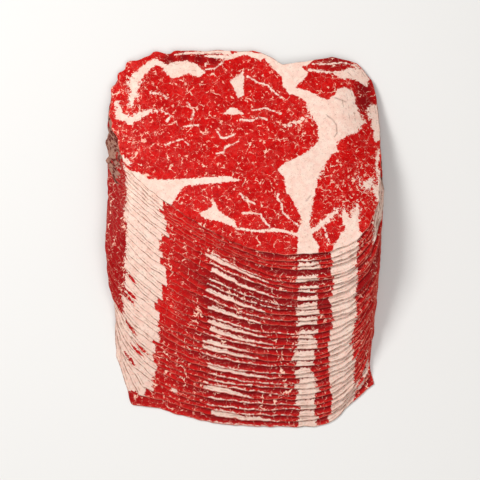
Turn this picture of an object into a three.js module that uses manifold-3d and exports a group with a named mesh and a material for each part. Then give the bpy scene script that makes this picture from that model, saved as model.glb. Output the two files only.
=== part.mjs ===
// Raw beef ribeye, cut across the muscle into thin slices and laid out as a fan.
//
// Each slice is one closed sheet of meat. The lowest lies flat. Every next one lies on
// those below and a little further back, so the front edges make a low stair, and behind
// the lowest slice the sheets bend down over one another until their back edges reach the
// surface that the meat lies on. The outline changes slowly from the lowest slice to the
// top one, and every slice strays a little from its place, as it does when laid by hand.
//
// Millimetres, +X to the right, +Y to the back, +Z up. The origin is under the middle of
// the fan, on the surface.

import * as THREE from "three";
import { mergeVertices } from "three/addons/utils/BufferGeometryUtils.js";
import Module from "manifold-3d";

const wasm = await Module();
wasm.setup();

// The fan
const SLICE_COUNT = 32;
const FAN_STEP = 4.0; // from one front edge to the next, on average
const STEP_SPREAD = 0.22; // share of a step by which one front edge strays
const SIDE_SPREAD = 0.7; // how far a slice strays to the left or right
const TURN_SPREAD = 0.55; // degrees that a slice is turned

// One layer, with the air above it
const LAYER_MIDDLE = 1.45;
const LAYER_SIDE = 1.25; // the stack is lower towards its sides
const AIR = 0.15;
const HALF_WIDTH = 100;

// How the sheets bend down behind the lowest slice
const CREST_Y = 159; // where the bend starts, from the lowest slice's front
const CREST_CORNER = { from: 70, to: 110, nearer: 45, power: 1.6 }; // nearer beside the corners
const ROUNDING = 0.22; // how softly the top slice goes over the crest
const TIP_ROOM = 2.5; // how far a bent sheet would still reach past its back edge

// One slice's outline: four quarters that meet at its foremost, rightmost, hindmost and
// leftmost points, each a superellipse with a power of its own, for the top and lowest slice
const OUTLINE_POINTS = 46;
const SLICE_LENGTH = 157;
const LENGTH_SPREAD = 2; // how far the back edge strays from cut to cut
const LEFT_SPREAD = 1.4; // how far the left edge does
const TOP_SHORTER = 2; // the top slice leaves this much of those below to be seen
const TOP_OUTLINE = {
  left: -97.5, right: 102, hind: -8, fore: 26, leftAt: 87, rightAt: 68,
  foreLeft: 1.5, foreRight: 3.0, hindRight: 5.5, hindLeft: 4.4,
};
const LOW_OUTLINE = {
  left: -98.5, right: 96, hind: -8, fore: 44, leftAt: 71, rightAt: 82,
  foreLeft: 2.7, foreRight: 2.4, hindRight: 5.5, hindLeft: 4.4,
};
const SQUARING = 1.9; // how late, going down the fan, the outline turns to the lowest one
const SAG = { slice: 24, width: 6, fore: 10, foreLeft: -0.2 }; // slices that sag to the right in front
const LEFT_STEP = { slice: 7, most: 6.9, width: 0.8 }; // the slices below this one start further in
const WAIST = { slices: 3, y: 83, width: 10, depth: 6 }; // dip in the left edge of the top slices
const NOTCH = { x: 36.5, width: 15.5, depth: 10.8 }; // dip in the back edge, where the fat is soft
const RIGHT_STEP = { x: 27, most: 3, width: 4 }; // right of it the back edge lies further in
const WAVE = { size: 0.75, slow: 3, quick: 7, rough: 0.6 }; // how a cut edge wanders

// Corners that are pulled out of the lowest slices, by their direction round the outline
const FLAP_SLICES = 3;
const FLAP_WIDTH = 0.1; // radians
const LEFT_FLAP = { angle: 1.21 * Math.PI, most: 11.5 };
const RIGHT_FLAP = { angle: 1.815 * Math.PI, most: 10.5 };

// The grid that all sheets share, so that one never cuts into the next
const COLUMNS = [-110, -92, -72, -30, 30, 72, 92, 110];
const ROWS = [-190, 0, 10, 24, 42, 64, 90, 120, 160]; // behind the crest
const SAME_POINT = 1e-4; // corners closer than this are one

// What a stray is for, so that each has values of its own
const USE = {
  step: 1, turn: 2, slowWave: 3, quickWave: 4, side: 7, left: 8, length: 9, edge: 10,
};

const LEAN_RED = 0xb4201c;

// A number from -1 to 1 that depends only on the slice and on what it is used for
function stray(slice, use) {
  const turned = Math.sin(slice * 12.9898 + use * 78.233) * 43758.5453;
  return 2 * (turned - Math.floor(turned)) - 1;
}

function blend(from, to, share) {
  return from + (to - from) * share;
}

// A smooth hill of height 1
function bell(distance, width) {
  return Math.exp(-((distance / width) ** 2));
}

// A smooth step from 0 to 1
function ramp(distance, width) {
  return 1 / (1 + Math.exp(-distance / width));
}

function frontOf(slice) {
  const strays = slice > 0 && slice < SLICE_COUNT - 1 ? stray(slice, USE.step) * STEP_SPREAD : 0;
  return FAN_STEP * (slice + strays);
}

function layerAt(x) {
  return blend(LAYER_MIDDLE, LAYER_SIDE, Math.min(1, (x / HALF_WIDTH) ** 2));
}

function crestAt(x) {
  const { from, to, nearer, power } = CREST_CORNER;
  return CREST_Y - nearer * Math.max(0, (Math.abs(x) - from) / (to - from)) ** power;
}

// Height of a slice's underside above the surface, at x and at a distance behind the crest
function undersideAt(slice, x, behind) {
  const height = slice * layerAt(x);
  if (slice === 0 || behind <= 0) return height;
  const reach = FAN_STEP * slice + TIP_ROOM;
  const power = 1 + ROUNDING * (slice / (SLICE_COUNT - 1));
  return height * (1 - (behind / reach) ** power);
}

// The sizes of one slice's outline
function shapeOf(slice) {
  const down = (1 - slice / (SLICE_COUNT - 1)) ** SQUARING;
  const sag = bell(slice - SAG.slice, SAG.width);
  const shape = {};
  for (const key in TOP_OUTLINE) shape[key] = blend(TOP_OUTLINE[key], LOW_OUTLINE[key], down);
  shape.fore += SAG.fore * sag;
  shape.foreLeft += SAG.foreLeft * sag;
  const shorter = slice === SLICE_COUNT - 1 ? TOP_SHORTER : 0;
  const stepped = LEFT_STEP.most * ramp(LEFT_STEP.slice - slice, LEFT_STEP.width);
  shape.left += LEFT_SPREAD * stray(slice, USE.left) + shorter + stepped;
  shape.length = SLICE_LENGTH + LENGTH_SPREAD * stray(slice, USE.length) - shorter;
  return shape;
}

// How far a corner is pulled out at an angle round the outline
function flapAt(flap, angle, slice) {
  return flap.most * (1 - slice / FLAP_SLICES) * bell(angle - flap.angle, FLAP_WIDTH);
}

// How far the cut edge lies outside the smooth outline, at one of its points
function edgeAt(slice, index, angle) {
  const slow = stray(slice, USE.slowWave) * Math.sin(WAVE.slow * angle + slice);
  const quick = stray(slice, USE.quickWave) * Math.sin(WAVE.quick * angle + 2 * slice);
  const rough = stray(slice, USE.edge + index) * WAVE.rough;
  const wave = WAVE.size * (slow + quick + rough);
  if (slice >= FLAP_SLICES) return wave;
  return wave + flapAt(LEFT_FLAP, angle, slice) + flapAt(RIGHT_FLAP, angle, slice);
}

// The outline of one slice, as points round it from its rightmost point by way of the back
function outlineOf(slice) {
  const shape = shapeOf(slice);
  const turn = THREE.MathUtils.degToRad(stray(slice, USE.turn) * TURN_SPREAD);
  const middle = new THREE.Vector2(0, SLICE_LENGTH / 2);
  const place = new THREE.Vector2(stray(slice, USE.side) * SIDE_SPREAD, frontOf(slice));
  const points = [];
  for (let i = 0; i < OUTLINE_POINTS; i++) {
    const angle = (2 * Math.PI * i) / OUTLINE_POINTS;
    const across = Math.cos(angle);
    const along = Math.sin(angle);
    const hind = along > 0;
    const right = across > 0;
    const power = shape[(hind ? "hind" : "fore") + (right ? "Right" : "Left")];
    const start = hind ? shape.hind : shape.fore;
    const widest = right ? shape.right : shape.left;
    const widestAt = right ? shape.rightAt : shape.leftAt;
    const size = (Math.abs(across) ** power + Math.abs(along) ** power) ** (-1 / power);
    const reach = Math.abs(across) * size;
    const rise = Math.abs(along) * size;
    const point = new THREE.Vector2(blend(start, widest, reach), blend(widestAt, 0, rise));
    if (hind) {
      const dip = NOTCH.depth * bell(point.x - NOTCH.x, NOTCH.width)
        + RIGHT_STEP.most * ramp(point.x - RIGHT_STEP.x, RIGHT_STEP.width);
      point.y = blend(widestAt, shape.length, rise) - dip;
    }
    if (!right && slice >= SLICE_COUNT - WAIST.slices) {
      point.x += WAIST.depth * bell(point.y - WAIST.y, WAIST.width);
    }
    const pull = edgeAt(slice, i, angle);
    point.add(new THREE.Vector2(pull * across, pull * along));
    points.push(point.rotateAround(middle, turn).add(place));
  }
  return points;
}

// A closed mesh as a solid that can be cut
function solidFrom(geometry) {
  const bare = geometry.clone();
  bare.deleteAttribute("normal");
  bare.deleteAttribute("uv");
  const merged = mergeVertices(bare, SAME_POINT);
  return new wasm.Manifold(new wasm.Mesh({
    numProp: 3,
    vertProperties: merged.attributes.position.array,
    triVerts: new Uint32Array(merged.index.array),
  }));
}

function geometryFrom(solid) {
  const mesh = solid.getMesh();
  const geometry = new THREE.BufferGeometry();
  geometry.setAttribute("position", new THREE.BufferAttribute(mesh.vertProperties, 3));
  geometry.setIndex(new THREE.BufferAttribute(mesh.triVerts, 1));
  return geometry;
}

// The sheet that a slice is cut from: the shared grid, bent, with one layer's thickness
function sheetOf(slice) {
  const places = [];
  const faces = [];
  const layerSize = COLUMNS.length * ROWS.length;
  const at = (column, row, level) => level * layerSize + row * COLUMNS.length + column;
  const quad = (a, b, c, d) => faces.push(a, b, c, a, c, d);
  for (const level of [0, 1]) {
    for (const behind of ROWS) {
      for (const x of COLUMNS) {
        const underside = undersideAt(slice, x, behind);
        places.push(x, crestAt(x) + behind, underside + level * (layerAt(x) - AIR));
      }
    }
  }
  const last = COLUMNS.length - 1;
  const hindmost = ROWS.length - 1;
  // Underside and top, split along the same diagonal
  for (let row = 0; row < hindmost; row++) {
    for (let column = 0; column < last; column++) {
      const corners = [[column, row], [column + 1, row], [column + 1, row + 1], [column, row + 1]];
      const [a, b, c, d] = corners.map(([i, j]) => at(i, j, 0));
      faces.push(a, c, b, a, d, c);
      quad(...corners.map(([i, j]) => at(i, j, 1)));
    }
  }
  // Front and back edges
  for (let i = 0; i < last; i++) {
    quad(at(i, 0, 0), at(i + 1, 0, 0), at(i + 1, 0, 1), at(i, 0, 1));
    quad(at(i + 1, hindmost, 0), at(i, hindmost, 0), at(i, hindmost, 1), at(i + 1, hindmost, 1));
  }
  // Left and right edges
  for (let j = 0; j < hindmost; j++) {
    quad(at(0, j + 1, 0), at(0, j, 0), at(0, j, 1), at(0, j + 1, 1));
    quad(at(last, j, 0), at(last, j + 1, 0), at(last, j + 1, 1), at(last, j, 1));
  }
  const geometry = new THREE.BufferGeometry();
  geometry.setAttribute("position", new THREE.Float32BufferAttribute(places, 3));
  geometry.setIndex(faces);
  return solidFrom(geometry);
}

// One slice: its outline as an upright prism, cut out of its sheet
function makeSlice(slice) {
  const clear = 2 * SLICE_COUNT * LAYER_MIDDLE; // past every sheet, above and below
  const outline = new THREE.Shape(outlineOf(slice));
  const prism = new THREE.ExtrudeGeometry(outline, { depth: 2 * clear, bevelEnabled: false });
  prism.translate(0, 0, -clear);
  const solid = sheetOf(slice).intersect(solidFrom(prism));
  const material = new THREE.MeshStandardMaterial({ color: LEAN_RED, roughness: 0.4, metalness: 0 });
  const mesh = new THREE.Mesh(geometryFrom(solid), material);
  mesh.name = `slice_${String(slice + 1).padStart(2, "0")}`;
  return mesh;
}

const fan = new THREE.Group();
for (let slice = 0; slice < SLICE_COUNT; slice++) fan.add(makeSlice(slice));

// Centre the fan over the origin
const centre = new THREE.Box3().setFromObject(fan).getCenter(new THREE.Vector3());
fan.position.set(-centre.x, -centre.y, 0);

export default fan;
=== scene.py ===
# %% [markdown]
# Sliced raw beef ribeye, laid out as a fan
#
# A ribeye is cut across its muscle into slices a little over a millimetre thick. They are
# laid down from the front to the back, each a few millimetres behind the one below, so the
# top slice shows its whole face and all others show a strip along their front edge.
#
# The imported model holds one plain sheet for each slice. It is the frame: it says where each
# slice lies and how large it is. This lesson puts a finely shaped, marbled slice in the
# place of each of those sheets.

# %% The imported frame
import math

import bpy
import numpy as np
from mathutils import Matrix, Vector


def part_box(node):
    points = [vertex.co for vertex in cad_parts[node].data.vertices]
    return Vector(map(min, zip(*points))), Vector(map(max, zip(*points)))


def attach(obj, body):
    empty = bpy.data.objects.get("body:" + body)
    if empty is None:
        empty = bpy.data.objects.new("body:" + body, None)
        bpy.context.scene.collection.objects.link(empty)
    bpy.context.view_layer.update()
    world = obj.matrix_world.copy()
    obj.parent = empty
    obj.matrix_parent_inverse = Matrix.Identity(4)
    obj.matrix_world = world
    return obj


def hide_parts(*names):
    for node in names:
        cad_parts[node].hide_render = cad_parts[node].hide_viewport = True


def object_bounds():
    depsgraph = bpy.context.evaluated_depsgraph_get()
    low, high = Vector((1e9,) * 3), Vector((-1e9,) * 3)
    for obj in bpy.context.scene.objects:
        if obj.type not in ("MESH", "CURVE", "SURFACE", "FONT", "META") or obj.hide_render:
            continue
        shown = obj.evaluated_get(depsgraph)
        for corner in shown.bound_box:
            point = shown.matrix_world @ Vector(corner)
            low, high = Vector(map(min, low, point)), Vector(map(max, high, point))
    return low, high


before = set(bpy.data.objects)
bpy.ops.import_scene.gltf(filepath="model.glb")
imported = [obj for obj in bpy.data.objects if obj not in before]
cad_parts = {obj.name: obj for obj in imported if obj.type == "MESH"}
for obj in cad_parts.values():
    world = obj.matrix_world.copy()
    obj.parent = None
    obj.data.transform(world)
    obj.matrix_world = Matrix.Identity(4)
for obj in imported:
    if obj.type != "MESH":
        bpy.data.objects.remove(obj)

MM = 0.001  # the scene is in metres, and the shapes below are in millimetres
cad_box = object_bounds()
SLICES = sorted(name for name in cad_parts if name.startswith("slice_"))
TOP = len(SLICES) - 1
print(f"{len(SLICES)} slices in the frame, {(cad_box[1].y - cad_box[0].y) / MM:.0f} mm long")

# %% [markdown]
# Each slice keeps the outline of the sheet that it stands for. That outline is read from
# the frame rather than drawn again, so the two can't drift apart. The upright walls of a
# sheet are the only steep faces on it, so their corners are the outline, and sorting them
# by their direction from the middle puts them in order.

# %% The outline of a slice, read from the frame
STEEP = 0.3  # a face whose normal rises less than this is an upright wall


def rim_of(name):
    """Middle, directions and distances of a slice's cut edge, in mm and radians."""
    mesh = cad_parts[name].data
    points = np.array([vertex.co for vertex in mesh.vertices]) / MM
    wall = {i for face in mesh.polygons if abs(face.normal.z) < STEEP for i in face.vertices}
    middle = (points.min(0)[:2] + points.max(0)[:2]) / 2
    arms = points[sorted(wall)][:, :2] - middle
    angles, first = np.unique(np.round(np.arctan2(arms[:, 1], arms[:, 0]), 4), return_index=True)
    return middle, angles, np.hypot(arms[:, 0], arms[:, 1])[first]


print(f"the top slice's outline has {len(rim_of(SLICES[TOP])[1])} corners")

# %% [markdown]
# The sheets lie flat on one another up to a crest, and behind it they bend down until
# their back edges touch the surface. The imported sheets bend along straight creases. Meat
# doesn't, so here the same bend is worked out again with a soft start. Every layer follows
# the same rule, which keeps a slice from cutting into the next.

# %% The height of the pile at any place
LAYER_MIDDLE = 1.45  # one slice and the thin air above it, in the middle of the pile
LAYER_SIDE = 1.25  # the same at the sides, where the pile is lower
HALF_WIDTH = 100
FAN_STEP = 4.0  # how far one slice lies behind the one below
AIR = 0.04
CREST = 159  # from the lowest slice's front edge to where the bend starts
CREST_CORNER = 45  # how much nearer it starts beside the corners
CORNER_FROM, CORNER_TO, CORNER_POWER = 70, 110, 1.6  # mm from the middle line, and how sharply
ROUNDING = 0.22  # how much fuller the top slice's bend is than a straight slope
TIP_ROOM = 2.5  # added to the length of each slope, so that the lowest slice has one too
SOFT_START = 6  # mm over which a sheet starts to bend
FAN_X = -2.1  # the pile's middle line
FRONT_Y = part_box(SLICES[0])[0].y / MM


def layer_at(x):
    """Thickness of one layer at x."""
    return LAYER_MIDDLE + (LAYER_SIDE - LAYER_MIDDLE) * np.minimum(1, ((x - FAN_X) / HALF_WIDTH) ** 2)


def underside_at(number, x, y):
    """Height of a slice's underside above the surface."""
    outside = np.maximum(0, (np.abs(x - FAN_X) - CORNER_FROM) / (CORNER_TO - CORNER_FROM))
    behind = y - (FRONT_Y + CREST - CREST_CORNER * outside**CORNER_POWER)
    behind = SOFT_START * np.logaddexp(0, behind / SOFT_START)
    reach = FAN_STEP * number + TIP_ROOM
    power = 1 + ROUNDING * number / TOP
    height = number * layer_at(x)
    return np.maximum(0, height * (1 - (behind / reach) ** power))


print(f"the crest is {underside_at(TOP, np.array([0.0]), np.array([0.0]))[0]:.0f} mm high")

# %% [markdown]
# A slice starts as a blank: a square grid with one slice's thickness. Its upright rim is
# cut into four bands, so that the cut edge can be rounded later. All the slices share this
# topology, so the blank is modelled once and copied. The top slice shows its whole face
# and gets a finer blank of its own.

# %% Modelling a blank
LOWER_CELLS = 104  # along one side of the square
TOP_CELLS = 300
RIM_CUTS = 3


def model_blank(name, cells):
    """A closed slab, 2 wide and 1 thick, with its rim cut into bands."""
    bpy.ops.object.select_all(action="DESELECT")
    bpy.ops.mesh.primitive_grid_add(x_subdivisions=cells, y_subdivisions=cells, size=2)
    blank = bpy.context.object
    blank.name = name
    thickness = blank.modifiers.new("one slice thick", "SOLIDIFY")
    thickness.thickness = 1
    bpy.ops.object.modifier_apply(modifier=thickness.name)
    mesh = blank.data
    bpy.ops.object.mode_set(mode="EDIT")
    bpy.ops.mesh.select_mode(type="EDGE")
    bpy.ops.mesh.select_all(action="DESELECT")
    bpy.ops.object.mode_set(mode="OBJECT")
    for edge in mesh.edges:
        start, end = (mesh.vertices[i].co for i in edge.vertices)
        edge.select = abs(start.z - end.z) > 0.5
    bpy.ops.object.mode_set(mode="EDIT")
    bpy.ops.mesh.subdivide(number_cuts=RIM_CUTS)
    bpy.ops.object.mode_set(mode="OBJECT")
    bpy.ops.object.shade_smooth()
    print(f"{name}: {len(mesh.polygons)} faces")
    return blank


lower_blank = model_blank("lower_blank", LOWER_CELLS)
top_blank = model_blank("top_blank", TOP_CELLS)

# %% [markdown]
# Now the square is laid over the slice. A corner of the grid becomes a direction from the
# middle, and its ring in the grid becomes a distance from the cut edge. The rings lie
# closer together near the edge, because that is the part of a lower slice that shows.
#
# A knife leaves no perfect edge in soft meat. It wanders by a few tenths of a millimetre,
# lifts here and there, and is rounded where it was cut. One corner of the top slice is
# torn, and the left flank of the upper slices is lumpy, so the edge wanders more there.

# %% Laying a blank over its slice
EDGE_ROUNDING = 0.4  # radius across the cut edge
EDGE_ROUGHNESS = 0.45  # how far the cut edge wanders
EDGE_LIFT = 0.9  # how far it stands up in places
LIFT_REACH = 3.0  # how far from the edge a lift is felt
WAVES = (5, 9, 14, 23, 37, 58)  # bends of the edge round the whole slice
SWELL = 0.9  # the pile isn't quite even
CLEAR_OF_FLOOR = 3  # what lies lower neither swells nor lifts
TORN_WAVES = (31, 43, 61)  # finer bends, where an edge is torn or lumpy
TORN_CORNER = (2.45, 0.32, 2.6)  # of the top slice: direction and width in radians, depth in mm
LUMPY_FLANK = (3.0, 0.3, 1.4)  # the same for the left flank of the upper slices
LUMPY_FROM = 24  # the lowest slice with such a flank
TOP_EVENNESS, LOWER_EVENNESS = 0.85, 0.45  # 1 would spread the rings evenly


def ripple(random, angle, waves):
    """A rough wave round the outline, from about -1 to 1."""
    total = np.zeros_like(angle)
    for count in waves:
        size, phase = random.uniform(0.5, 1), random.uniform(0, 2 * math.pi)
        total += size * np.sin(count * angle + phase)
    return total / math.sqrt(len(waves))


def shape_slice(number, blank):
    """Lay a copy of the blank over one slice.

    Gives the piece, its points' places in the slice, and their distances from the cut edge.
    """
    name = SLICES[number]
    random = np.random.default_rng(number + 1)
    piece = blank.copy()
    piece.data = blank.data.copy()
    piece.name = piece.data.name = f"ribeye_{name}"
    bpy.context.collection.objects.link(piece)

    grid = np.empty(len(piece.data.vertices) * 3)
    piece.data.vertices.foreach_get("co", grid)
    across, along, up = grid.reshape(-1, 3).T
    ring = np.maximum(np.abs(across), np.abs(along))
    wide = np.abs(across) >= np.abs(along)
    safe = np.where(ring < 1e-6, 1, np.where(wide, across, along))
    tilt = np.where(wide, along, -across) / safe * math.pi / 4
    sideways = np.where(across < 0, math.pi, 0)
    lengthways = np.where(along < 0, -math.pi / 2, math.pi / 2)
    angle = np.where(wide, sideways, lengthways) + tilt

    middle, rim_angles, rim_reach = rim_of(name)
    rough = ripple(random, angle, WAVES) * EDGE_ROUGHNESS
    uneven = [TORN_CORNER] if number == TOP else []
    if number >= LUMPY_FROM:
        uneven.append(LUMPY_FLANK)
    for direction, width, depth in uneven:
        there = np.exp(-(((angle - direction) / width) ** 2))
        rough += depth * there * ripple(random, angle, TORN_WAVES)
    reach = np.interp(angle, rim_angles, rim_reach, period=2 * math.pi) + rough
    even = TOP_EVENNESS if number == TOP else LOWER_EVENNESS
    inward = reach * (even * (1 - ring) + (1 - even) * (1 - ring) ** 2)

    level = 0.5 + (up - up.mean()) / np.ptp(up)
    on_rim = ring > 1 - 1e-6
    bow = (level - 0.5) * math.pi
    level = np.where(on_rim, 0.5 + 0.5 * np.sin(bow), level)
    tuck = np.where(on_rim, EDGE_ROUNDING * (1 - np.cos(bow)), 0)
    x = middle[0] + (reach - inward - tuck) * np.cos(angle)
    y = middle[1] + (reach - inward - tuck) * np.sin(angle)

    near_edge = np.exp(-((inward / LIFT_REACH) ** 2))
    lift = EDGE_LIFT * np.maximum(0, ripple(random, angle, WAVES[:4])) * near_edge
    swell = SWELL * number / TOP * (np.sin(x / 19 + 1) * np.sin(y / 23) + 0.5 * np.sin((x + y) / 11))
    z = underside_at(number, x, y) + level * (layer_at(x) - AIR)
    z += np.where(z > CLEAR_OF_FLOOR, swell + (lift if number else 0), 0)
    piece.data.vertices.foreach_set("co", np.column_stack([x, y, z]).ravel() * MM)
    piece.data.update()

    low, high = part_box(name)
    own = np.column_stack([x - (low.x + high.x) / 2 / MM, y - low.y / MM])
    return piece, own, inward

# %% [markdown]
# A ribeye's fat has two kinds. Thick seams run between the muscles, and they run through
# every slice at nearly the same place. The broad ones are outlines, and the narrow ones are
# paths with a half width at each point. The distance to them is stored on the mesh, so the
# material can draw their borders sharply and make them ragged, as in real fat.

# %% The seams of the whole cut
# Outlines of (right of the slice's middle, behind its foremost point), in mm
BROAD_SEAMS = {
    "centre, at the back": [
        (11, 152), (22, 139), (27, 134), (28, 126), (33, 120), (40, 118), (45, 113), (46, 106),
        (80, 106), (81, 118), (79, 123), (73, 125.5), (68, 124), (66, 119), (60, 115), (47, 122),
        (36, 125), (43, 131), (47, 137), (42, 141), (50, 146), (56, 148.5), (54, 152),
    ],
    "centre, its broad part": [
        (44, 110), (53, 95), (53, 84), (45, 75), (31, 68), (23, 62), (28, 57), (30, 44), (50, 44),
        (53, 56), (62, 73), (67, 76), (67, 83), (74, 88), (82, 91), (88, 99), (80, 114),
    ],
    "centre, to the front": [
        (30, 46), (35, 38), (41, 25), (38, 16), (37, -6), (52, -6), (53, 6), (48, 14), (46, 22),
        (50, 46),
    ],
    "front left": [
        (-90, 62), (-78, 61), (-69, 55), (-49, 55), (-12, 57), (-3, 54), (-21, 52), (-44, 50),
        (-49, 43), (-54, 34), (-92, 40),
    ],
    "right column": [
        (69, 28), (72, 34), (75, 28), (81, 38), (83, 30), (81, 23), (84, 14), (83, -6), (60, -6),
        (64, 7), (72, 19),
    ],
    "rear right": [(65, 136), (81, 142), (87, 140), (92, 133), (90, 127), (80, 132), (71, 132)],
    "right rim": [(90, 111), (96, 114), (103, 102), (102, 86), (95, 85), (93, 96)],
    "island at the back": [
        (-61, 139), (-54, 145), (-43, 146), (-35, 143), (-29, 137), (-34, 133), (-42, 136),
        (-53, 132),
    ],
    "pointed island": [(-11, 130), (-1, 138), (-1, 119), (-5, 117)],
    "small island": [(-16, 104), (-11, 109), (-6, 109), (-1, 104)],
    "island in front": [
        (-33, 30), (-24, 34), (-23, 41), (-21, 36), (-18, 31), (-9, 25), (-4, 18), (-12, 22),
        (-19, 24), (-29, 26),
    ],
    "knot on the right": [(82, 56), (85, 52), (92, 57), (95, 52), (87, 47)],
}
# Paths of (right, behind, half width)
NARROW_SEAMS = [
    # the left rim
    [
        (-56, 140, 1.4), (-67, 146, 2.2), (-76, 138, 3.4), (-83, 129, 4.2), (-81, 120, 3.2),
        (-84, 113, 1.8),
    ],
    [(-94, 114, 1.6), (-92, 104, 3), (-84, 100, 2.8), (-76, 104, 2.8), (-68, 107, 1.2)],
    [(-89, 72, 1.6), (-85, 68, 2.2)],
    # the rim at the back
    [(-29, 150, 0.7), (-12, 149, 1.8), (0, 153, 1.8), (12, 149, 2.2)],
    [(-52, 151, 0.4), (-41, 152.5, 0.9), (-30, 153, 0.9), (-19, 153.5, 1.2), (-12, 152.5, 1.6)],
    [(50, 144, 0.3), (62, 143.5, 0.5), (72, 145, 0.3), (82, 143, 0.4)],
    [(48, 139, 1.1), (62, 137, 0.7), (74, 137, 1.1)],
    # at the front right, and to the island in front
    [(48, 17, 1.8), (56, 23, 1.9), (67, 33, 0.7)],
    [(-6, 19, 0.8), (9, 17, 0.6), (20, 18, 1.2), (29, 17, 0.7), (38, 14, 1.1)],
    # the right rim
    [
        (98, 78, 0.8), (95.5, 66, 1.6), (98.5, 58, 1.4), (96, 48, 3), (98.5, 38, 2), (96, 28, 3.2),
        (95, 14, 2.4),
    ],
]


def path_distance(points, path):
    """Distance in mm from each point to a path whose half width changes, negative inside."""
    nearest = np.full(len(points), 1e9)
    for (ax, ay, aw), (bx, by, bw) in zip(path, path[1:]):
        step = np.array([bx - ax, by - ay], float)
        share = np.clip((points - (ax, ay)) @ step / (step @ step), 0, 1)
        gap = points - (ax, ay) - share[:, None] * step
        nearest = np.minimum(nearest, np.hypot(gap[:, 0], gap[:, 1]) - aw - share * (bw - aw))
    return nearest


def outline_distance(points, outline):
    """Distance in mm from each point to a closed outline, negative inside."""
    closed = [(x, y, 0) for x, y in (*outline, outline[0])]
    inside = np.zeros(len(points), bool)
    for (ax, ay, _), (bx, by, _) in zip(closed, closed[1:]):
        if ay != by:
            crossing = ax + (points[:, 1] - ay) * (bx - ax) / (by - ay)
            spans = (points[:, 1] < ay) != (points[:, 1] < by)
            inside ^= spans & (points[:, 0] < crossing)
    return np.where(inside, -1, 1) * path_distance(points, closed)


print(f"{len(BROAD_SEAMS)} broad seams and {len(NARROW_SEAMS)} narrow ones")

# %% [markdown]
# The second kind is marbling: thin veins inside a muscle. The larger veins of the top
# slice are paths too. The finer ones are too many to place and come from the material.

# %% The larger veins of the top slice
# (right, behind) in mm
VEIN_HALF_WIDTH = 0.5
# These are centre lines, without a half width of their own
VEINS = [
    [(2, 134), (10, 129), (17, 127), (20, 123), (27, 117)],
    [(5, 107), (15, 109), (26, 105)],
    [(-3, 100), (5, 99), (10, 102), (16, 100)],
    [(30, 95), (40, 99), (46, 103)],
    [(-43, 114), (-37, 106), (-39, 100)],
    [(-66, 107), (-61, 107), (-54, 103), (-57, 99)],
    [(-57, 81), (-50, 84), (-45, 85), (-41, 81)],
    [(-21, 92), (-17, 86), (-13, 86), (-7, 89)],
    [(-21, 74), (-16, 75), (-14, 79), (-5, 83)],
    [(-44, 95), (-34, 96)],
    [(-68, 121), (-62, 120), (-57, 117)],
    [(-29, 144), (-29, 139), (-22, 140), (-14, 148)],
    [(-2, 30), (5, 30), (11, 29), (13, 25), (20, 18)],
    [(24, 45), (23, 41), (26, 37), (27, 30), (32, 26), (38, 21)],
    [(-3, 44), (-1, 40), (7, 37)],
    [(56, 22), (58, 16), (60, 10)],
]
print(f"{len(VEINS)} larger veins")

# %% [markdown]
# Of a lower slice only the strip along its front edge shows. Three pale seams cross that
# strip, and since they lie at nearly the same place in every slice, they line up down the
# fan as bands. Their borders wander a little from slice to slice. Left of the middle, a
# slanting seam is cut lengthwise: it starts bluntly, thins out to the right and so makes
# the long white streaks.
#
# A few small things break the rule, as in real meat. In some slices the left fat gapes in
# a slit, small round pieces of fat lie in the lowest ones, and in the highest ones the fat
# of the right rim reaches the front.

# %% The bands and streaks at the front of the lower slices
# Each band is (from, to) in mm right of the middle. Slices are counted from the lowest, 0
LEFT_BAND = (-86, -58)
WIDER_LEFT, WIDER_BELOW = 16, 9  # below this slice the left band starts further left
LOW_NARROWING, NARROWING_POWER = 13, 2.5  # and towards the lowest slice it ends earlier
COLUMN = (39, 52)
DEEP_COLUMN, SHALLOW_COLUMN = 5.5, 2  # how far the column reaches inward, low and high in the fan
RIGHT_BAND = (63, 81)
SLANT = 0.9  # how far a band's border runs sideways, per mm towards the cut edge
SLANT_DEPTH = 2.5
STREAK_START = -27
THICK_LENGTH, THIN_LENGTH = 44, 62
THICK_STREAKS = (1, 5, 9, 12, 13, 15, 16, 18, 20, 23, 25)
NO_STREAK_ABOVE = 26
LOWEST_SLICES = 6  # so many have a streak that is thicker still
LOWEST_HALF, THICK_HALF, THIN_HALF, TIP_HALF = 2.2, 1.6, 0.4, 0.12  # half widths of the streaks
TAPER = 0.7
BLUNT_START, BLUNT_LENGTH = 0.45, 9  # the share of its width that a streak starts with
PALE_RIM, PALE_RIM_DEPTH = 93, 2.6  # the right rim is fat from here outward
PALE_RIM_ABOVE = 25
OPEN_SLITS = {15: -82, 13: -81, 12: -82, 8: -83, 6: -76, 5: -78, 3: -84}  # slice: place
SLIT_HALF_LENGTH, SLIT_HALF_WIDTH, SLIT_DEPTH = 4.5, 1.2, 1.9
ISLETS = {3: (-51.5, 2.3), 1: (85, 2.8), 2: (88, 2)}  # slice: place and radius of a piece of fat
SLIT_STEEPNESS, ISLET_STEEPNESS = 3, 1.5  # these keep ragged borders from swallowing them
FLAP = (-64, 26)  # the lowest slice's front left corner is lean up to here
SHOWING = 14  # the bands are drawn this far inside the edge


def wander(number, use):
    """A slow drift from slice to slice, from about -1 to 1."""
    return 0.6 * math.sin(0.9 * number + 2.1 * use) + 0.5 * math.sin(2.3 * number + 4.7 * use)


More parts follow.
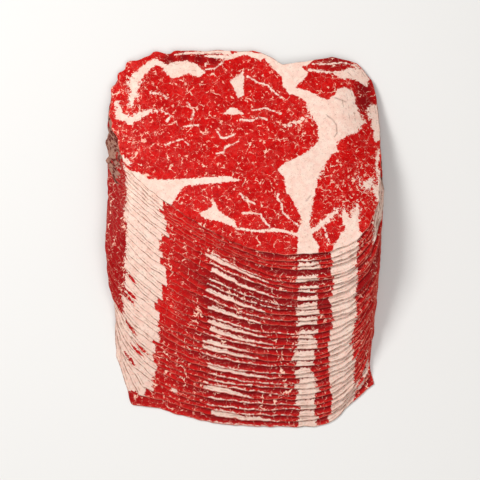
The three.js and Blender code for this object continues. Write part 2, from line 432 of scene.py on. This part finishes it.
def front_distance(number, own, inward):
    """Distance in mm to the pale bands and streaks of one lower slice, negative inside."""
    x = own[:, 0]
    down = 1 - number / TOP
    left = LEFT_BAND[0] + 1.2 * wander(number, 1) - (WIDER_LEFT if number < WIDER_BELOW else 0)
    right = LEFT_BAND[1] - LOW_NARROWING * down**NARROWING_POWER + 3.5 * wander(number, 2)
    if number == 0:
        left = np.where(own[:, 1] < FLAP[1], FLAP[0], left)
    spread = SLANT * np.clip(SLANT_DEPTH - inward, -1, SLANT_DEPTH)
    low = COLUMN[0] + 1.8 * wander(number, 3) - 0.5 * spread
    high = COLUMN[1] + 1.8 * wander(number, 4) + 0.3 * spread
    right_low = RIGHT_BAND[0] + 1.2 * wander(number, 5) + 0.3 * spread
    right_high = RIGHT_BAND[1] + 1.2 * wander(number, 6) - 0.3 * spread
    reach = SHALLOW_COLUMN + (DEEP_COLUMN - SHALLOW_COLUMN) * down + 0.8 * wander(number, 13)
    nearest = np.maximum(np.maximum(low - x, x - high), inward - reach)
    for start, end in ((left, right), (right_low, right_high)):
        nearest = np.minimum(nearest, np.maximum(start - x, x - end))
    if number > PALE_RIM_ABOVE:
        nearest = np.minimum(nearest, np.maximum(PALE_RIM - x, inward - PALE_RIM_DEPTH))
    if number in OPEN_SLITS:
        sideways = (x - OPEN_SLITS[number]) / SLIT_HALF_LENGTH
        slit = np.hypot(sideways, (inward - SLIT_DEPTH) / SLIT_HALF_WIDTH)
        nearest = np.maximum(nearest, SLIT_STEEPNESS * (1 - slit))
    if number in ISLETS:
        centre, radius = ISLETS[number]
        islet = np.hypot(x - centre, inward - radius) - radius
        nearest = np.minimum(nearest, ISLET_STEEPNESS * islet)
    if number > NO_STREAK_ABOVE:
        return nearest
    thick = number in THICK_STREAKS
    length = (THICK_LENGTH if thick else THIN_LENGTH) + 9 * wander(number, 12)
    share = np.clip((x - STREAK_START) / length, 0, 1)
    widest = THIN_HALF
    if thick:
        widest = LOWEST_HALF if number < LOWEST_SLICES else THICK_HALF
    half = widest * (1 - share) ** TAPER + TIP_HALF
    half = half * np.clip(BLUNT_START + share * length / BLUNT_LENGTH, 0, 1)
    depth = half + 0.15 + (0.3 if thick else 0.1) * (1 - share)
    streak = np.maximum(np.abs(inward - depth) - half, STREAK_START + 3.2 * wander(number, 9) - x)
    return np.minimum(nearest, np.where(share < 1, streak, 1e9))


print(f"{len(THICK_STREAKS)} of the lower slices have a thick streak")

# %% [markdown]
# Each point of a slice now gets what the material needs: its place in the muscle, how far
# it is from fat and from the cut edge, how densely its muscle is marbled, how dark the
# lean is, painted shade included, and how much painted shade the fat gets. The place in the
# muscle has the depth of the cut as its third number, so the fine marbling of one slice
# follows from the one below, as in real slices. The fat at the back half of the lower
# slices' rims and along a few creases of the top slice gets painted shade. The lean of a
# lower slice darkens towards the next slice's edge: painted shade, and the darker red of
# lean that air didn't reach.

# %% Storing the muscle on the mesh
CUT = 1.4  # from one cut to the next through the muscle
# Places are (right, behind, radius) in mm
DENSE_MUSCLES = [
    (78, 45, 30), (-78, 84, 20), (-84, 120, 22), (92, 105, 16), (40, 96, 14), (82, 138, 9),
]
PLAIN_MUSCLES = [(54, 127, 16)]
DARK_PLACES = [
    (-56, 146, 6), (-45, 149, 6), (-34, 148, 6), (-23, 148, 6), (88, 115, 10), (66, 148, 12),
    (88, 125, 8),
]
CREASES = [
    [(60, 103), (64, 100), (66.5, 96), (67, 90), (65, 87)],
    [(44, 39), (47, 43)],
    [(66, 117), (74, 114)],
]
# painted shade on the fat along the creases: half width in mm, and how strong
CREASE_HALF_WIDTH, CREASE_SHADE = 0.45, 0.7
STRIP_LENGTH = 78  # behind this the lower slices are covered
SHADED_FLANK_WIDTH, SHADED_FLANK_ABOVE = 4.5, 24  # width of the fat on the left flank, which gets painted shade, and above which slice
FLANK_MIDDLE, FLANK_HALF_LENGTH = 96, 20
# behind this the lower slices' fat gets painted shade, fading in over this many mm
FAT_SHADE_BEHIND, FAT_SHADE_FADE = 68, 8
LOW_FAT_SHADE = 0.16  # the lowest slices' fat gets a little painted shade all over
COVERED_FROM, COVERED_FADE = 0.8, 3.2  # inward of the cut edge, where the lean darkens under the next slice: painted shade, and the darker red of lean that air didn't reach
SHADED_GAP, GAP_SHADE = (21, 22), 0.8  # slices whose strips lie open and get painted shade
BRIGHT_LEAN = (-56, -26)  # beside the left band the lean is bright, with little painted shade, and further right it isn't
BRIGHT_SHIFT, SHIFT_FROM, SHIFT_OVER = 40, 21, 5  # it reaches further right in the upper slices
# at the outer left the lean of the strips is darkened at least this much
OUTER_LEFT, OUTER_DARKNESS = (-84, -76), 0.65
LONG_FLECKS = 13  # below this slice the left strips are full of short pale strokes


def store(mesh, name, kind, values):
    """Put one value on each point of a mesh."""
    attribute = mesh.attributes.new(name=name, type=kind, domain="POINT")
    field = "vector" if kind == "FLOAT_VECTOR" else "value"
    attribute.data.foreach_set(field, np.asarray(values, np.float32).ravel())


def hills(own, places):
    """1 at the middle of each place and 0 far from all of them."""
    total = np.zeros(len(own))
    for x, y, radius in places:
        gap = np.hypot(own[:, 0] - x, own[:, 1] - y) / radius
        total = np.maximum(total, np.exp(-(gap**2)))
    return total


def describe(number, piece, own, inward):
    """Store what the material reads, for one slice."""
    drift = np.array([1.2 * wander(number, 10), 1.2 * wander(number, 11)]) if number < TOP else 0
    fat = np.min([outline_distance(own + drift, seam) for seam in BROAD_SEAMS.values()], axis=0)
    fat = np.minimum(fat, np.min([path_distance(own + drift, seam) for seam in NARROW_SEAMS], axis=0))
    painted_fat_shade = np.zeros(len(own))
    if number == TOP:
        for vein in VEINS:
            path = [(x, y, VEIN_HALF_WIDTH) for x, y in vein]
            fat = np.minimum(fat, path_distance(own, path))
        dark_lean_and_shade = hills(own, DARK_PLACES)
        dense = 0.25 + 0.75 * hills(own, DENSE_MUSCLES) - 0.3 * hills(own, PLAIN_MUSCLES)
        dense *= 1 - 0.7 * dark_lean_and_shade
        # Painted shade on the fat along a few creases
        paths = [[(x, y, 0) for x, y in line] for line in CREASES]
        crease = np.min([path_distance(own, path) for path in paths], axis=0)
        painted_fat_shade = CREASE_SHADE * np.exp(-((crease / CREASE_HALF_WIDTH) ** 2))
    else:
        showing = (own[:, 1] < STRIP_LENGTH) & (inward < SHOWING)
        fat = np.where(showing, front_distance(number, own, inward), fat)
        flank = np.abs(own[:, 1] - FLANK_MIDDLE) - FLANK_HALF_LENGTH
        flank = np.maximum(inward - SHADED_FLANK_WIDTH, flank)
        if number > SHADED_FLANK_ABOVE:
            fat = np.where(own[:, 0] < 0, np.minimum(fat, flank), fat)
        # Painted shade on the fat at the back of the lower slices, and a little on the lowest ones
        painted_fat_shade = np.clip((own[:, 1] - FAT_SHADE_BEHIND) / FAT_SHADE_FADE, 0, 1)
        painted_fat_shade = np.maximum(painted_fat_shade, LOW_FAT_SHADE * (1 - number / TOP))
        # Painted shade towards the next slice's edge, which is also where the lean is a darker red, out of
        # the air
        under = np.clip((inward - COVERED_FROM) / COVERED_FADE, 0, 1)
        dark_lean_and_shade = 0.2 + 0.8 * under * under * (3 - 2 * under)
        if number in SHADED_GAP:
            dark_lean_and_shade = np.maximum(dark_lean_and_shade, GAP_SHADE)
        bright_to = BRIGHT_LEAN[1] + BRIGHT_SHIFT * max(0, min(1, (number - SHIFT_FROM) / SHIFT_OVER))
        darkness = (0.5 if number < LONG_FLECKS else 0.15, 1)
        dark_lean_and_shade *= np.interp(own[:, 0], (BRIGHT_LEAN[0], bright_to), darkness)
        dark_lean_and_shade = np.maximum(dark_lean_and_shade, np.interp(own[:, 0], OUTER_LEFT, (OUTER_DARKNESS, 0)))
        left_strips = 0.5 if number < LONG_FLECKS else 0.05
        # How dense the marbling is, from left to right
        places = [-84, -76, -60, -30, -20, 28, 38, 54, 60, 84]
        values = [0.5, 0.4, left_strips, left_strips, 0.1, 0.1, 0.5, 0.5, 0.15, 0.6]
        dense = np.interp(own[:, 0], places, values)
    mesh = piece.data
    store(mesh, "muscle", "FLOAT_VECTOR", np.column_stack([own, np.full(len(own), number * CUT)]))
    store(mesh, "fat", "FLOAT", np.clip(fat, -20, 20))
    store(mesh, "edge", "FLOAT", inward)
    store(mesh, "dense", "FLOAT", dense)
    store(mesh, "dark_lean_and_shade", "FLOAT", dark_lean_and_shade)
    store(mesh, "painted_fat_shade", "FLOAT", painted_fat_shade)


pieces = []
for number, name in enumerate(SLICES):
    piece, own, inward = shape_slice(number, top_blank if number == TOP else lower_blank)
    describe(number, piece, own, inward)
    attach(piece, "root")
    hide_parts(name)
    pieces.append(piece)
for blank in (lower_blank, top_blank):
    bpy.data.objects.remove(blank)
print(f"{len(pieces)} slices, {sum(len(piece.data.polygons) for piece in pieces)} faces")

# %% [markdown]
# Raw beef is wet. Its lean is a bright red where air reached it and a darker red under
# the other slices, and this darker red also serves as painted shade near the edge of each
# next slice and on a few open strips. Its fat is cream-coloured and smooth, with painted
# shade where it lies at the back of the lower slices and along a few creases. Light enters
# both and comes out a little way off, red most of all, so the finish scatters light under
# the surface. The water on it gives a soft gloss.
#
# Colours are written as sRGB hex values, as in a paint program, and one function turns
# them to the linear values that the shader needs. Another adds a node with its settings
# and links, which keeps the long list of nodes easy to read.

# %% Two helpers for materials
def colour(code):
    """An sRGB hex value as linear red, green, blue and alpha."""
    shares = [int(code[i : i + 2], 16) / 255 for i in (1, 3, 5)]
    linear = [s / 12.92 if s <= 0.04045 else ((s + 0.055) / 1.055) ** 2.4 for s in shares]
    return (*linear, 1)


def add(tree, kind, inputs=None, **settings):
    """Add one shader node. An input is a value, or another node's output to link."""
    node = tree.nodes.new("ShaderNode" + kind)
    for name, value in settings.items():
        setattr(node, name, value)
    for socket, value in (inputs or {}).items():
        if isinstance(value, bpy.types.NodeSocket):
            tree.links.new(value, node.inputs[socket])
        else:
            node.inputs[socket].default_value = value
    return node


print("lean red in linear light:", [round(value, 3) for value in colour("#D00C0A")])

# %% [markdown]
# The pattern is drawn from the inside out: first the lean with its fibres and its painted
# shade, then the fine marbling as the walls of a cell pattern that fade in and out, then the
# longer veins from a larger cell pattern, then the seams from the distance stored on the
# mesh, with painted shade on the fat, and last the painted highlight and shadow line along
# the cut edge. Noise shifts every border, because no border in meat is smooth: less where the
# muscle is plain, and by several millimetres where it is densely marbled.

# %% Raw beef
FLECK_CELL = 2.8  # mm across one cell of the finest marbling
VEIN_CELL = 8  # the same for the longer veins
FIBRE = 0.8  # mm across a bundle of fibres, as fine as the picture can show
CLOUD = 5  # mm across the paler clouds in the lean
BLOTCH = 9
TINT = 4  # mm across the tints of the fat
VEIN_PATCH = 6.25  # mm across the places with longer veins
BENDS_PER_MM, FLECK_PATCHES_PER_MM, TEETH_PER_MM = 0.3, 0.34, 0.45
BEND = (7, 7, 1)  # mm between the furthest shifts to either side
STRIP_MIDDLE = 2.1  # mm from the cut edge, where the fat of a strip gets a painted shadow line
SMOOTH_BORDER, RAGGED_BORDER = 2.4, 10  # mm by which the seams' borders stray, at most
THIN_EDGE = 0.75  # mm from the cut edge that gets a painted highlight on lean and a painted shadow line on fat


def make_raw_beef():
    """The finish of all the slices: lean, marbling and fat, moist."""
    material = bpy.data.materials.new("raw_beef_cut_face")
    material.use_nodes = True
    tree = material.node_tree
    tree.nodes.clear()
    muscle = add(tree, "Attribute", attribute_name="muscle").outputs["Vector"]
    fat = add(tree, "Attribute", attribute_name="fat").outputs["Fac"]
    edge = add(tree, "Attribute", attribute_name="edge").outputs["Fac"]
    dense = add(tree, "Attribute", attribute_name="dense").outputs["Fac"]
    dark_lean_and_shade = add(tree, "Attribute", attribute_name="dark_lean_and_shade").outputs["Fac"]
    painted_fat_shade = add(tree, "Attribute", attribute_name="painted_fat_shade").outputs["Fac"]

    # Places are shifted before the cell patterns are read, so that the walls curve
    shift = add(tree, "TexNoise", {"Vector": muscle, "Scale": BENDS_PER_MM, "Detail": 3})
    shift = add(tree, "VectorMath", {0: shift.outputs["Color"], 1: (0.5, 0.5, 0.5)}, operation="SUBTRACT")
    moved = add(tree, "VectorMath", {0: shift.outputs[0], 1: BEND}, operation="MULTIPLY")
    bent = add(tree, "VectorMath", {0: muscle, 1: moved.outputs[0]}, operation="ADD").outputs[0]

    # Lean
    blotches = add(tree, "TexNoise", {"Vector": muscle, "Scale": 1 / BLOTCH, "Detail": 3})
    fibres = add(tree, "TexNoise", {"Vector": bent, "Scale": 1 / FIBRE, "Detail": 3, "Roughness": 0.6})
    lean_share = add(tree, "MapRange", {0: blotches.outputs["Fac"], 1: 0.35, 2: 0.65})
    reds = {0: lean_share.outputs[0], 6: colour("#D00C0A"), 7: colour("#BA0304")}
    lean = add(tree, "Mix", reds, data_type="RGBA")
    clouds = add(tree, "TexNoise", {"Vector": muscle, "Scale": 1 / CLOUD, "Detail": 5, "Roughness": 0.65})
    haze = add(tree, "MapRange", {0: clouds.outputs["Fac"], 1: 0.48, 2: 0.66, 3: 0, 4: 0.55})
    lean = add(tree, "Mix", {0: haze.outputs[0], 6: lean.outputs[2], 7: colour("#D2352F")}, data_type="RGBA")
    # Painted shade, and the darker red of lean under the other slices
    lean = add(tree, "Mix", {0: dark_lean_and_shade, 6: lean.outputs[2], 7: colour("#82040A")}, data_type="RGBA")
    pits = add(tree, "MapRange", {0: fibres.outputs["Fac"], 1: 0.52, 2: 0.36, 3: 0, 4: 0.6})
    lean = add(tree, "Mix", {0: pits.outputs[0], 6: lean.outputs[2], 7: colour("#7A0103")}, data_type="RGBA")

    # Fine marbling
    cells = add(tree, "TexVoronoi", {"Vector": bent, "Scale": 1 / FLECK_CELL}, feature="DISTANCE_TO_EDGE")
    fleck_patches = add(tree, "TexNoise", {
        "Vector": muscle, "Scale": FLECK_PATCHES_PER_MM, "Detail": 3, "Roughness": 0.6,
    })
    start = add(tree, "MapRange", {0: dense, 3: 0.6, 4: 0.49})
    amount = add(tree, "MapRange", {
        0: fleck_patches.outputs["Fac"], 1: start.outputs[0], 2: 0.75, 3: 0, 4: 0.2,
    })
    gap = add(tree, "Math", {0: amount.outputs[0], 1: cells.outputs["Distance"]}, operation="SUBTRACT")
    # The fine marbling is fainter where the lean is darkened
    strength = add(tree, "MapRange", {0: dark_lean_and_shade, 3: 0.9, 4: 0.45})
    flecks = add(tree, "MapRange", {0: gap.outputs[0], 1: -0.01, 2: 0.04, 3: 0, 4: strength.outputs[0]})
    pale = {0: flecks.outputs[0], 6: lean.outputs[2], 7: colour("#F2B49C")}
    meat = add(tree, "Mix", pale, data_type="RGBA")

    # Veins
    cells = add(tree, "TexVoronoi", {"Vector": bent, "Scale": 1 / VEIN_CELL}, feature="DISTANCE_TO_EDGE")
    patches = add(tree, "TexNoise", {"Vector": muscle, "Scale": 1 / VEIN_PATCH, "Detail": 2})
    amount = add(tree, "MapRange", {0: patches.outputs["Fac"], 1: 0.54, 2: 0.7, 3: 0, 4: 0.05})
    gap = add(tree, "Math", {0: amount.outputs[0], 1: cells.outputs["Distance"]}, operation="SUBTRACT")
    veins = add(tree, "MapRange", {0: gap.outputs[0], 1: -0.01, 2: 0.015})
    meat = add(tree, "Mix", {0: veins.outputs[0], 6: meat.outputs[2], 7: colour("#F0BFA8")}, data_type="RGBA")

    # Seams
    ragged = add(tree, "TexNoise", {
        "Vector": muscle, "Scale": TEETH_PER_MM, "Detail": 4, "Roughness": 0.72,
    })
    ragged = add(tree, "MapRange", {0: ragged.outputs["Fac"], 3: -1, 4: 1})
    straying = add(tree, "MapRange", {0: dense, 1: 0.3, 3: SMOOTH_BORDER, 4: RAGGED_BORDER})
    ragged = add(tree, "Math", {0: ragged.outputs[0], 1: straying.outputs[0]}, operation="MULTIPLY")
    border = add(tree, "Math", {0: fat, 1: ragged.outputs[0]}, operation="ADD")
    seam = add(tree, "MapRange", {0: border.outputs[0], 1: 0.3, 2: -0.2})
    tint = add(tree, "TexNoise", {"Vector": bent, "Scale": 1 / TINT, "Detail": 4})
    tint = add(tree, "MapRange", {0: tint.outputs["Fac"], 1: 0.35, 2: 0.65})
    creams = {0: tint.outputs[0], 6: colour("#F1D6C6"), 7: colour("#EBC4B4")}
    cream = add(tree, "Mix", creams, data_type="RGBA")
    # Painted shade on the fat, mottled brown and dark red
    shade_mottle = add(tree, "MapRange", {0: fleck_patches.outputs["Fac"], 1: 0.46, 2: 0.54})
    fat_shade_colours = {0: shade_mottle.outputs[0], 6: colour("#9C7262"), 7: colour("#5A1412")}
    shaded_fat = add(tree, "Mix", fat_shade_colours, data_type="RGBA")
    cream = add(tree, "Mix", {0: painted_fat_shade, 6: cream.outputs[2], 7: shaded_fat.outputs[2]}, data_type="RGBA")
    spots = add(tree, "MapRange", {0: fibres.outputs["Fac"], 1: 0.58, 2: 0.66, 3: 0, 4: 0.5})
    brown = {0: spots.outputs[0], 6: cream.outputs[2], 7: colour("#A07058")}
    cream = add(tree, "Mix", brown, data_type="RGBA")
    # On the strips of the lower slices the fat gets a faint painted shadow line halfway, broken here and
    # there
    halfway_shadow_line = add(tree, "Math", {0: edge, 1: STRIP_MIDDLE}, operation="PINGPONG")
    halfway_shadow_line = add(tree, "MapRange", {0: halfway_shadow_line.outputs[0], 1: STRIP_MIDDLE - 0.5, 2: STRIP_MIDDLE - 0.1})
    broken = add(tree, "MapRange", {0: clouds.outputs["Fac"], 1: 0.48, 2: 0.58, 3: 0, 4: 0.6})
    strip = add(tree, "MapRange", {0: dark_lean_and_shade, 1: 0.02, 2: 0.05})
    halfway_shadow_line = add(tree, "Math", {0: halfway_shadow_line.outputs[0], 1: broken.outputs[0]}, operation="MULTIPLY")
    halfway_shadow_line = add(tree, "Math", {0: halfway_shadow_line.outputs[0], 1: strip.outputs[0]}, operation="MULTIPLY")
    line = {0: halfway_shadow_line.outputs[0], 6: cream.outputs[2], 7: colour("#94705E")}
    cream = add(tree, "Mix", line, data_type="RGBA")
    meat = add(tree, "Mix", {0: seam.outputs[0], 6: meat.outputs[2], 7: cream.outputs[2]}, data_type="RGBA")

    # Along the thin cut edge lean gets a pale painted highlight, where light comes through and catches the
    # edge, and fat a brown painted shadow line. Where the lean is darkened, its edge gets painted shade
    broken = add(tree, "MapRange", {0: clouds.outputs["Fac"], 1: 0.44, 2: 0.58, 3: 0.15, 4: 0.95})
    thin = add(tree, "MapRange", {0: edge, 1: THIN_EDGE, 2: 0.2})
    pale = add(tree, "Math", {0: broken.outputs[0], 1: thin.outputs[0]}, operation="MULTIPLY")
    lean_edge_highlight_and_shade = add(tree, "Mix", {0: dark_lean_and_shade, 6: colour("#D86C5A"), 7: colour("#8E1A18")}, data_type="RGBA")
    edge_highlight_and_shadow_colours = {0: seam.outputs[0], 6: lean_edge_highlight_and_shade.outputs[2], 7: colour("#9A7060")}
    rim = add(tree, "Mix", edge_highlight_and_shadow_colours, data_type="RGBA")
    meat = add(tree, "Mix", {0: pale.outputs[0], 6: meat.outputs[2], 7: rim.outputs[2]}, data_type="RGBA")

    # Fibres stand up a little from the lean
    relief = add(tree, "Bump", {"Height": fibres.outputs["Fac"], "Strength": 0.35, "Distance": 0.25 * MM})
    skin = add(tree, "BsdfPrincipled", {
        "Base Color": meat.outputs[2], "Roughness": 0.5, "IOR": 1.4, "Specular IOR Level": 0.1,
        "Subsurface Weight": 0.12, "Subsurface Radius": (1, 0.3, 0.2), "Subsurface Scale": 0.8 * MM,
        "Normal": relief.outputs[0],
    })
    output = add(tree, "OutputMaterial", {0: skin.outputs[0]})
    print(f"{material.name}: {len(tree.nodes)} nodes to {output.name}")
    return material


raw_beef = make_raw_beef()
for piece in pieces:
    piece.data.materials.clear()
    piece.data.materials.append(raw_beef)

# %% [markdown]
# The meat lies on a plain pale floor. A soft light stands behind it to the left, so that
# each front edge casts a thin shadow on the slice below. A larger one above and in front
# keeps the steps between the slices from going dark, and a pale surrounding light fills
# the rest.

# %% Floor and light
bpy.ops.object.select_all(action="DESELECT")
bpy.ops.mesh.primitive_plane_add(size=8)  # metres, so its border stays far away
floor = bpy.context.object
floor.name = "floor"
paper = bpy.data.materials.new("matt_pale_paper")
paper.use_nodes = True
paper.node_tree.nodes["Principled BSDF"].inputs["Base Color"].default_value = colour("#E4E2DF")
paper.node_tree.nodes["Principled BSDF"].inputs["Roughness"].default_value = 0.9
floor.data.materials.append(paper)

MIDDLE = (cad_box[0] + cad_box[1]) / 2


def add_light(name, place, size, watts):
    """A square soft light that looks at the meat."""
    lamp = bpy.data.lights.new(name, "AREA")
    lamp.size = size
    lamp.energy = watts
    light = bpy.data.objects.new(name, lamp)
    light.location = place
    light.rotation_euler = (MIDDLE - Vector(place)).to_track_quat("-Z", "Y").to_euler()
    bpy.context.collection.objects.link(light)


add_light("softbox_behind", (-0.75, 0.6, 1.1), 0.5, 16)
add_light("softbox_above", (0.3, -0.5, 1.3), 1.0, 9)
world = bpy.data.worlds.new("studio")
world.use_nodes = True
world.node_tree.nodes["Background"].inputs["Color"].default_value = colour("#FFFFFF")
world.node_tree.nodes["Background"].inputs["Strength"].default_value = 0.28
bpy.context.scene.world = world
bpy.context.scene.view_settings.view_transform = "Standard"
print("one floor and two soft lights")

# %% [markdown]
# The camera looks down almost upright, with a long lens, as in a shop's picture of a pack.

# %% Camera
ELEVATION = 86  # degrees above the horizon
DISTANCE = 1.4
VIEW_WIDTH = 0.349  # what the picture's width spans at the meat
AIM = Vector((-0.0031, -0.0033, MIDDLE.z))
SENSOR = 36

lens = bpy.data.cameras.new("camera")
lens.sensor_width = SENSOR
lens.lens = SENSOR * DISTANCE / VIEW_WIDTH
camera = bpy.data.objects.new("camera", lens)
back = Vector((0, -math.cos(math.radians(ELEVATION)), math.sin(math.radians(ELEVATION))))
camera.location = AIM + DISTANCE * back
camera.rotation_euler = (-back).to_track_quat("-Z", "Y").to_euler()
bpy.context.collection.objects.link(camera)
bpy.context.scene.camera = camera
print(f"lens of {lens.lens:.0f} mm, {DISTANCE} m away")
